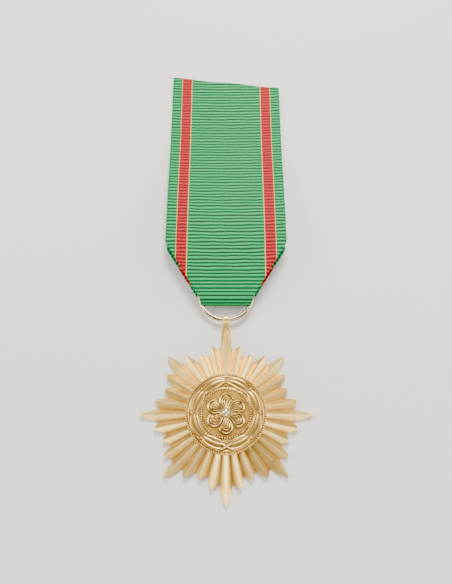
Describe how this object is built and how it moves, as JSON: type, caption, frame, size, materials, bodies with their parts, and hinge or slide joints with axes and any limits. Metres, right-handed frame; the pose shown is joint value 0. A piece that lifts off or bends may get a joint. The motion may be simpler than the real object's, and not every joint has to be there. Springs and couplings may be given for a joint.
{
  "type": "military service medal",
  "caption": "Ray star medal with a raised rosette medallion, on a round suspension ring and a doubled two-stripe ribbon with tucked-in lower corners.",
  "frame": {"origin": "the middle of the footprint, on the surface that the medal lies on", "axes": "+Z out of the medal's face, +Y from the star towards the ribbon's free ends, +X to the right as the face is read"},
  "size_m": [0.04, 0.1196, 0.0048],
  "materials": {
    "gilt_star": "struck metal with matt gilding, brighter on the ridges",
    "gilt_medallion": "struck metal with matt gilding, darker in the hollows",
    "polished_rivet": "polished domed head, pale where the gilding is worn",
    "gilt_burr": "plain washer, matt",
    "ring_wire": "drawn round wire, pale and bright",
    "ribbon_silk": "ribbed silk, green with two red stripes edged in cream",
    "sewing_thread": "twisted thread in the ribbon's green"
  },
  "bodies": {
    "ribbon": {"ribbon": "ribbon_silk", "corner_tack": "sewing_thread"},
    "ring": {"suspension_ring": "ring_wire"},
    "star": {"ray_star": "gilt_star", "medallion_disc": "gilt_medallion", "centre_rivet": "polished_rivet", "rivet_burr": "gilt_burr"}
  },
  "joints": [
    {"name": "ring_turn", "type": "hinge", "parent": "ribbon", "child": "ring", "pos_m": [0, -0.00995, 0.0016], "axis": [0, 0, 1], "range_deg": [-20, 20]},
    {"name": "star_swing", "type": "hinge", "parent": "ring", "child": "star", "pos_m": [0, -0.01655, 0.0016], "axis": [-1, 0, 0], "range_deg": [-120, 140]}
  ]
}
